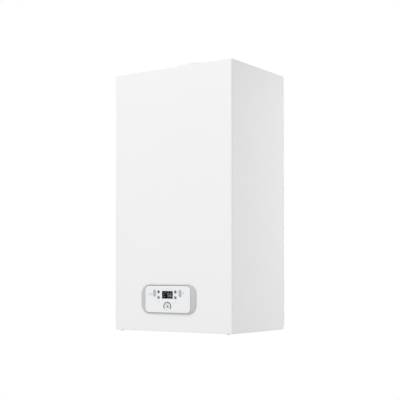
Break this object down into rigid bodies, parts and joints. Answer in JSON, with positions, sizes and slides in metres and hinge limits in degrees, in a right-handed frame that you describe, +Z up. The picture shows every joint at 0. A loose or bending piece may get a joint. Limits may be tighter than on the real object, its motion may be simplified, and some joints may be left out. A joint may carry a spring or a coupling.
{
  "type": "combi boiler",
  "caption": "Wall-hung condensing combi boiler with a pull-off casing, a fold-down control box and its burner, pump, valves and pipes inside.",
  "frame": {"origin": "on the wall, midway between the two screw holes of the wall bracket", "axes": "+X to the right seen from the front, +Y into the wall, +Z up"},
  "size_m": [0.394, 0.287, 0.7465],
  "materials": {
    "casing_paint": "satin powder coat",
    "bezel_grey": "fine satin",
    "fascia_white": "satin",
    "display_black": "gloss",
    "key_grey": "satin",
    "button_grey": "satin",
    "gauge_body": "satin",
    "needle_dark": "matt",
    "lens_clear": "clear",
    "zinc_sheet": "galvanised",
    "bracket_steel": "galvanised",
    "screw_steel": "zinc plated",
    "stainless": "brushed",
    "rubber_black": "matt",
    "foam_grey": "open cell",
    "socket_black": "matt",
    "collar_plastic": "satin",
    "flue_plastic": "satin",
    "shell_composite": "matt",
    "door_casting": "as cast",
    "fibre_board": "pressed fibre",
    "ceramic": "glazed",
    "fan_black": "matt",
    "fan_casting": "as cast",
    "intake_plastic": "matt",
    "valve_casting": "as cast",
    "copper": "drawn",
    "brass": "turned",
    "block_composite": "matt",
    "motor_grey": "painted",
    "motor_black": "matt",
    "rotor_plastic": "satin",
    "knob_red": "satin",
    "knob_blue": "satin",
    "vessel_paint": "gloss paint",
    "trap_plastic": "translucent",
    "hose_grey": "matt",
    "gland_black": "matt",
    "box_plastic": "matt",
    "board_green": "solder mask"
  },
  "bodies": {
    "root": {"air_intake": "intake_plastic", "back_panel": "zinc_sheet", "bottom_tray": "zinc_sheet", "burner": "stainless", "burner_door": "door_casting", "cable_gland": "gland_black", "casing_screws": "screw_steel", "casing_seal": "foam_grey", "casing_sockets": "socket_black", "chassis_screws": "screw_steel", "condensate_hose": "hose_grey", "condensate_trap": "trap_plastic", "connection_tails": "brass", "diverter_motor": "motor_black", "door_insulation": "fibre_board", "door_nuts": "screw_steel", "electrodes": "ceramic", "expansion_pipe": "copper", "expansion_vessel": "vessel_paint", "fan_housing": "fan_casting", "fan_motor": "fan_black", "flow_block": "block_composite", "flow_pipe": "copper", "flue_collar": "collar_plastic", "flue_pipe": "flue_plastic", "gas_pipe": "copper", "gas_valve": "valve_casting", "heat_exchanger_coil": "stainless", "heat_exchanger_shell": "shell_composite", "plate_heat_exchanger": "stainless", "pump_motor": "motor_grey", "return_block": "block_composite", "return_pipe": "copper", "safety_valve": "brass", "top_panel": "zinc_sheet", "wall_bracket": "bracket_steel", "wall_buffers": "rubber_black"},
    "casing": {"outer_casing": "casing_paint", "casing_bezel": "bezel_grey", "casing_studs": "stainless"},
    "control_unit": {"control_box": "box_plastic", "control_box_cover": "box_plastic", "control_fascia": "fascia_white", "display_window": "display_black", "circuit_boards": "board_green", "gauge_body": "gauge_body", "gauge_lens": "lens_clear"},
    "needle": {"gauge_needle": "needle_dark"},
    "fan_rotor": {"fan_impeller": "fan_black"},
    "pump_rotor": {"pump_rotor": "rotor_plastic"},
    "diverter": {"diverter_stem": "brass"},
    "turbine": {"flow_turbine": "rotor_plastic"},
    "safety_knob": {"safety_valve_knob": "knob_red"},
    "tap_knob": {"filling_tap_knob": "knob_blue"},
    "button_upper_left": {"button_upper_left": "button_grey"},
    "button_lower_left": {"button_lower_left": "button_grey"},
    "button_upper_right": {"button_upper_right": "button_grey"},
    "button_lower_right": {"button_lower_right": "button_grey"},
    "key_left": {"rocker_key_left": "key_grey"},
    "key_right": {"rocker_key_right": "key_grey"}
  },
  "joints": [
    {"name": "casing_slide", "type": "slide", "parent": "root", "child": "casing", "axis": [0, -1, 0], "range_m": [0, 0.45]},
    {"name": "control_box_tilt", "type": "hinge", "parent": "root", "child": "control_unit", "pos_m": [0, -0.27, -0.655], "axis": [1, 0, 0], "range_deg": [0, 90]},
    {"name": "gauge_needle_turn", "type": "hinge", "parent": "control_unit", "child": "needle", "pos_m": [-0.0077, -0.2848, -0.6065], "axis": [0, 1, 0], "range_deg": [-93, 157]},
    {"name": "fan_spin", "type": "hinge", "parent": "root", "child": "fan_rotor", "pos_m": [0, -0.23, -0.385], "axis": [0, -1, 0], "continuous": true},
    {"name": "pump_spin", "type": "hinge", "parent": "root", "child": "pump_rotor", "pos_m": [0.13, -0.1, -0.555], "axis": [0, -1, 0], "continuous": true},
    {"name": "diverter_slide", "type": "slide", "parent": "root", "child": "diverter", "axis": [0, 0, -1], "range_m": [0, 0.006]},
    {"name": "turbine_spin", "type": "hinge", "parent": "root", "child": "turbine", "pos_m": [0.065, -0.12, -0.625], "axis": [0, 0, 1], "continuous": true},
    {"name": "safety_knob_turn", "type": "hinge", "parent": "root", "child": "safety_knob", "pos_m": [0.0975, -0.18, -0.62], "axis": [0, -1, 0], "range_deg": [0, 90]},
    {"name": "tap_knob_turn", "type": "hinge", "parent": "root", "child": "tap_knob", "pos_m": [0.0975, -0.12, -0.66], "axis": [0, 0, -1], "range_deg": [0, 90]},
    {"name": "button_upper_left_press", "type": "slide", "parent": "control_unit", "child": "button_upper_left", "axis": [0, 1, 0], "range_m": [0, 0.001], "stiffness_N_per_m": 300},
    {"name": "button_lower_left_press", "type": "slide", "parent": "control_unit", "child": "button_lower_left", "axis": [0, 1, 0], "range_m": [0, 0.001], "stiffness_N_per_m": 300},
    {"name": "button_upper_right_press", "type": "slide", "parent": "control_unit", "child": "button_upper_right", "axis": [0, 1, 0], "range_m": [0, 0.001], "stiffness_N_per_m": 300},
    {"name": "button_lower_right_press", "type": "slide", "parent": "control_unit", "child": "button_lower_right", "axis": [0, 1, 0], "range_m": [0, 0.001], "stiffness_N_per_m": 300},
    {"name": "rocker_key_left_tilt", "type": "hinge", "parent": "control_unit", "child": "key_left", "pos_m": [-0.0513, -0.2813, -0.5707], "axis": [1, 0, 0], "range_deg": [-2.5, 2.5], "stiffness_Nm_per_rad": 0.05},
    {"name": "rocker_key_right_tilt", "type": "hinge", "parent": "control_unit", "child": "key_right", "pos_m": [0.0346, -0.2813, -0.5707], "axis": [1, 0, 0], "range_deg": [-2.5, 2.5], "stiffness_Nm_per_rad": 0.05}
  ],
  "couplings": [
    {"joint": "control_box_tilt", "follows": "casing_slide", "rad_per_m": 3.4907}
  ]
}
